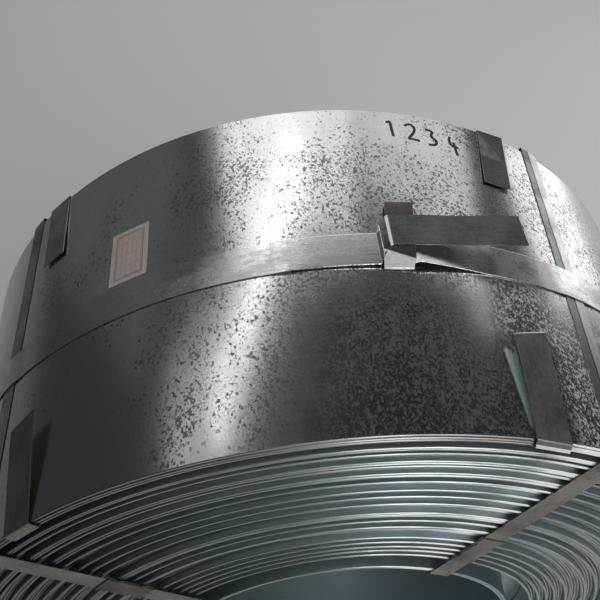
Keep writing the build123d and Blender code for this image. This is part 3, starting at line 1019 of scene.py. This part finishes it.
class COIL_OT_edge_strips(bpy.types.Operator):
    """Adds the strips hooked over the outer turns at both ends"""

    bl_idname = "coil.edge_strips"
    bl_label = "Add Edge Strips"

    def execute(self, context):
        for side, angle in EDGE_STRIP_ANGLES.items():
            strip = self.strip(side, angle, context.scene.coil_sizes.tab_lift)
            hand_over(strip, "hooked_strip_" + side, "strapping", "edge_strip_" + side)
        return {"FINISHED"}

    def strip(self, side, angle, lift):
        """One strip, from the free end of its near tab to that of its far tab, with finishes."""
        slants = [math.tan(math.radians(turn)) for turn in EDGE_STRIP_SLANTS[side]]
        near_slope, slope, far_slope = slants
        near_end = NEAR + EDGE_TAB_NEAR
        along, out = directions(angle)

        def spot(y, height):
            """A point of the strip's inner face. Each tab has its own slant."""
            shift = -y * slope
            if height < 0 and y < 0:
                shift -= height * HOOK_LEANS[side]
            elif height >= 0 and y < 0:
                shift = -NEAR * slope - (y - NEAR) * near_slope
            elif height >= 0:
                shift = -FAR * slope - (y - FAR) * far_slope
            return tangent_point(angle, shift, y, height)

        def cut(place):
            """Cuts the near tab's free end askew."""
            across = (place - spot(place.y, 0)).dot(along)
            share = max(0.0, 1 - abs(place.y - near_end) / (15 * MM))
            return place + Vector((0, TAB_CUT * across * share, 0))

        near, far = NEAR - 0.7 * MM, FAR + 1.5 * MM
        corners = [
            spot(near_end, lift),
            spot(near_end - 0.8 * MM, lift * 0.99),
            spot(NEAR + EDGE_TAB_NEAR * 0.75, lift * 0.82),
            spot(NEAR + EDGE_TAB_NEAR * 0.4, lift * 0.45),
            spot(near, TAB_SEAT),
            spot(near, -HOOK_BEND),
            spot(near, -HOOK_DEPTH),
            spot(far, -HOOK_DEPTH),
            spot(far, TAB_SEAT),
            spot(FAR - EDGE_TAB_FAR * 0.5, 0.6 * MM),
            spot(FAR - EDGE_TAB_FAR, 1.5 * MM),
        ]
        half = along * EDGE_STRIP_WIDTH / 2
        strip = drawn_strip(rounded(corners, 1.0 * MM, 4), -half, half, -1.0, cut)
        if side == "left":
            # Painted shade: the left strip takes darker steels than the right
            plain = ("left_strip_steel", "left_tab_steel")
            dress(strip, *(steel(name, marks=STRIP_MARKS) for name in plain))
            for face in strip.data.polygons:
                face.material_index = int(face.center.y > 0)
            return strip

        factors = (along.x, far_slope, along.z)
        rim = (factors, FAR * (slope - far_slope), EDGE_STRIP_WIDTH / 2 - TAB_RIM)
        far_shades = STEELS["far_tab_steel"]
        dress(
            strip,
            steel("edge_strip_steel", marks=STRIP_MARKS),
            steel("far_tab_steel", marks=STRIP_MARKS),
            steel("hook_bend_steel"),
            steel("strip_underside"),
            steel("cut_strip_edge"),
            strap_finish("rimmed_tab_right", *far_shades, rim=rim, marks=STRIP_MARKS),
        )
        # Painted light on the right strip: painted shade on the far tab and the hook's top, painted
        # highlights on the hook's bend, the cut end and the far tab's rim, and a pale painted
        # underside
        for face in strip.data.polygons:
            middle, facing = face.center, face.normal
            height = middle.dot(out) - OUTER
            across = (middle - spot(middle.y, 0)).dot(along)
            if middle.y > 0:
                face.material_index = RIMMED if facing.dot(out) > 0.6 else FAR_TAB
            elif abs(middle.y - near_end - TAB_CUT * across) < 0.8 * MM:
                face.material_index = CUT
            elif facing.y < -0.5 and height < 0:
                face.material_index = HOOK if height < -HOOK_BEND else FAR_TAB
            elif facing.dot(out) < -0.5 and height > 0:
                face.material_index = UNDERSIDE
            else:
                face.material_index = NEAR_TAB
        return strip


class COIL_OT_label(bpy.types.Operator):
    """Adds the paper label with empty ruled boxes"""

    bl_idname = "coil.label"
    bl_label = "Add Paper Label"

    def execute(self, context):
        low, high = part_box("paper_label")
        deselect()
        bpy.ops.mesh.primitive_grid_add(x_subdivisions=18, y_subdivisions=24, size=1.0)
        label = context.object
        for corner in label.data.vertices:
            across, upward = corner.co.x, corner.co.y
            angle = LABEL_ANGLE - math.degrees(across * LABEL_WIDTH / OUTER)
            y = low.y + (upward + 0.5) * (high.y - low.y)
            # The corners have come unstuck
            lift = 0.9 * MM * max(0.0, abs(across) + abs(upward) - 0.86)
            corner.co = round_point(OUTER + LABEL_SEAT + lift, angle, y)
        modify(label, "SOLIDIFY", thickness=0.12 * MM, offset=1.0)
        smooth(label, 40.0)
        dress(label, paper_finish(context.scene.coil_colours))
        hand_over(label, "ruled_label", "label_paper", "paper_label")
        return {"FINISHED"}


class COIL_OT_marking(bpy.types.Operator):
    """Adds plain numbers drawn by hand with a marker"""

    bl_idname = "coil.marking"
    bl_label = "Add Marking"

    STROKES = {
        "1": [[(0.25, 0.78), (0.5, 1.0), (0.48, 0.5), (0.5, 0.0)]],
        "2": [[
            (0.1, 0.8), (0.4, 1.0), (0.75, 0.8), (0.6, 0.45), (0.1, 0.02), (0.45, 0.08), (0.85, 0.0)
        ]],
        "3": [[(0.15, 0.95), (0.7, 0.95), (0.35, 0.58), (0.75, 0.35), (0.55, 0.05), (0.1, 0.05)]],
        "4": [[(0.45, 1.0), (0.1, 0.4), (0.85, 0.42)], [(0.62, 0.7), (0.6, 0.35), (0.62, -0.05)]],
    }

    def execute(self, context):
        pieces = [
            self.stroke(context, points, *DIGIT_PLACES[digit])
            for digit, strokes in self.STROKES.items()
            for points in strokes
        ]
        activate(*pieces)
        bpy.ops.object.join()
        marking = context.object
        apply_place(marking)
        for corner in marking.data.vertices:
            radius = math.hypot(corner.co.x, corner.co.z)
            wanted = OUTER + INK_SEAT + (radius - OUTER) * INK_SHARE
            corner.co.x *= wanted / radius
            corner.co.z *= wanted / radius
        smooth(marking, 60.0)
        dress(marking, ink_finish())
        hand_over(marking, "marker_numbers", "galvanised_strip")
        return {"FINISHED"}

    def stroke(self, context, points, angle, y):
        """One pen stroke on the round surface, as a thin tube that is flattened later."""
        deselect()
        line = bpy.data.curves.new("stroke", "CURVE")
        line.dimensions = "3D"
        line.resolution_u = 6
        line.bevel_depth = 1.35 * MM
        line.bevel_resolution = 2
        line.use_fill_caps = True
        spline = line.splines.new("NURBS")
        spline.points.add(len(points) - 1)
        for point, (right, up) in zip(spline.points, points):
            at = angle - math.degrees(right * DIGIT_WIDTH / OUTER)
            point.co = (*round_point(OUTER, at, y * MM + up * DIGIT_HEIGHT), 1.0)
        spline.use_endpoint_u = True
        spline.order_u = 3
        tube = bpy.data.objects.new("stroke", line)
        context.collection.objects.link(tube)
        activate(tube)
        bpy.ops.object.convert(target="MESH")
        return context.object


class COIL_OT_stage(bpy.types.Operator):
    """Adds the floor, the softboxes and the camera"""

    bl_idname = "coil.stage"
    bl_label = "Add Stage"

    def execute(self, context):
        scene = context.scene
        settings = scene.coil_stage
        deselect()
        bpy.ops.mesh.primitive_plane_add(size=14.0, location=(0, 0, CAD_LOW.z - 0.2 * MM))
        floor = context.object
        floor.name = "floor"
        cover = Finish("floor_paper")
        speckle = cover.noise(cover.place(), 30.0, 4.0, 0.6)
        colour = cover.mix(speckle * 0.06, settings.floor, settings.floor * 0.9)
        dress(floor, cover.draw(colour, 0.8))

        scene.world = bpy.data.worlds.new("studio")
        scene.world.use_nodes = True
        background = scene.world.node_tree.nodes["Background"]
        background.inputs["Color"].default_value = (0.60, 0.62, 0.65, 1.0)
        background.inputs["Strength"].default_value = 0.062
        for name, (watts, place, target, size, spin) in SOFTBOXES.items():
            lamp = bpy.data.lights.new(name + "_softbox", "AREA")
            lamp.shape = "RECTANGLE"
            lamp.size, lamp.size_y = size
            lamp.energy = watts * settings.light
            box = bpy.data.objects.new(lamp.name, lamp)
            scene.collection.objects.link(box)
            box.location = place
            aim = (Vector(target) - Vector(place)).to_track_quat("-Z", "Y").to_matrix()
            box.rotation_euler = (aim @ Matrix.Rotation(math.radians(spin), 3, "Z")).to_euler()
            box.visible_camera = False

        view = bpy.data.cameras.new("camera")
        view.sensor_width = 36.0
        view.lens = settings.lens
        view.clip_start = 0.01
        camera = bpy.data.objects.new("camera", view)
        scene.collection.objects.link(camera)
        right = Vector(CAMERA_RIGHT)
        forward = right.cross(Vector(CAMERA_DOWN)).normalized()
        up = right.cross(forward).normalized()
        turned = Matrix((right, up, -forward)).transposed().to_4x4()
        camera.matrix_world = Matrix.Translation(CAMERA_PLACE) @ turned
        scene.camera = camera
        scene.view_settings.view_transform = "Standard"
        return {"FINISHED"}


class COIL_PT_panel(bpy.types.Panel):
    """Lists the pieces and their settings"""

    bl_idname = "COIL_PT_panel"
    bl_label = "Steel Coil"
    bl_space_type = "VIEW_3D"
    bl_region_type = "UI"
    bl_category = "Coil"

    def draw(self, context):
        layout = self.layout
        for operator in OPERATORS:
            layout.operator(operator.bl_idname)
        for group in ("coil_sizes", "coil_colours", "coil_stage"):
            box = layout.box()
            settings = getattr(context.scene, group)
            for name in settings.bl_rna.properties.keys():
                if name not in ("rna_type", "name"):
                    box.prop(settings, name)


GROUPS = {"coil_sizes": CoilSizes, "coil_colours": CoilColours, "coil_stage": StageSettings}
OPERATORS = (
    COIL_OT_turns,
    COIL_OT_belly_strap,
    COIL_OT_clip,
    COIL_OT_eye_straps,
    COIL_OT_edge_strips,
    COIL_OT_label,
    COIL_OT_marking,
    COIL_OT_stage,
)


def register():
    for group in GROUPS.values():
        bpy.utils.register_class(group)
    for operator in OPERATORS + (COIL_PT_panel,):
        bpy.utils.register_class(operator)
    for name, group in GROUPS.items():
        setattr(bpy.types.Scene, name, PointerProperty(type=group))


def unregister():
    for name in GROUPS:
        delattr(bpy.types.Scene, name)
    for operator in reversed(OPERATORS + (COIL_PT_panel,)):
        bpy.utils.unregister_class(operator)
    for group in reversed(GROUPS.values()):
        bpy.utils.unregister_class(group)


def main():
    """Builds every piece and the stage."""
    register()
    for operator in OPERATORS:
        group, name = operator.bl_idname.split(".")
        getattr(getattr(bpy.ops, group), name)()


if __name__ == "__main__":
    main()
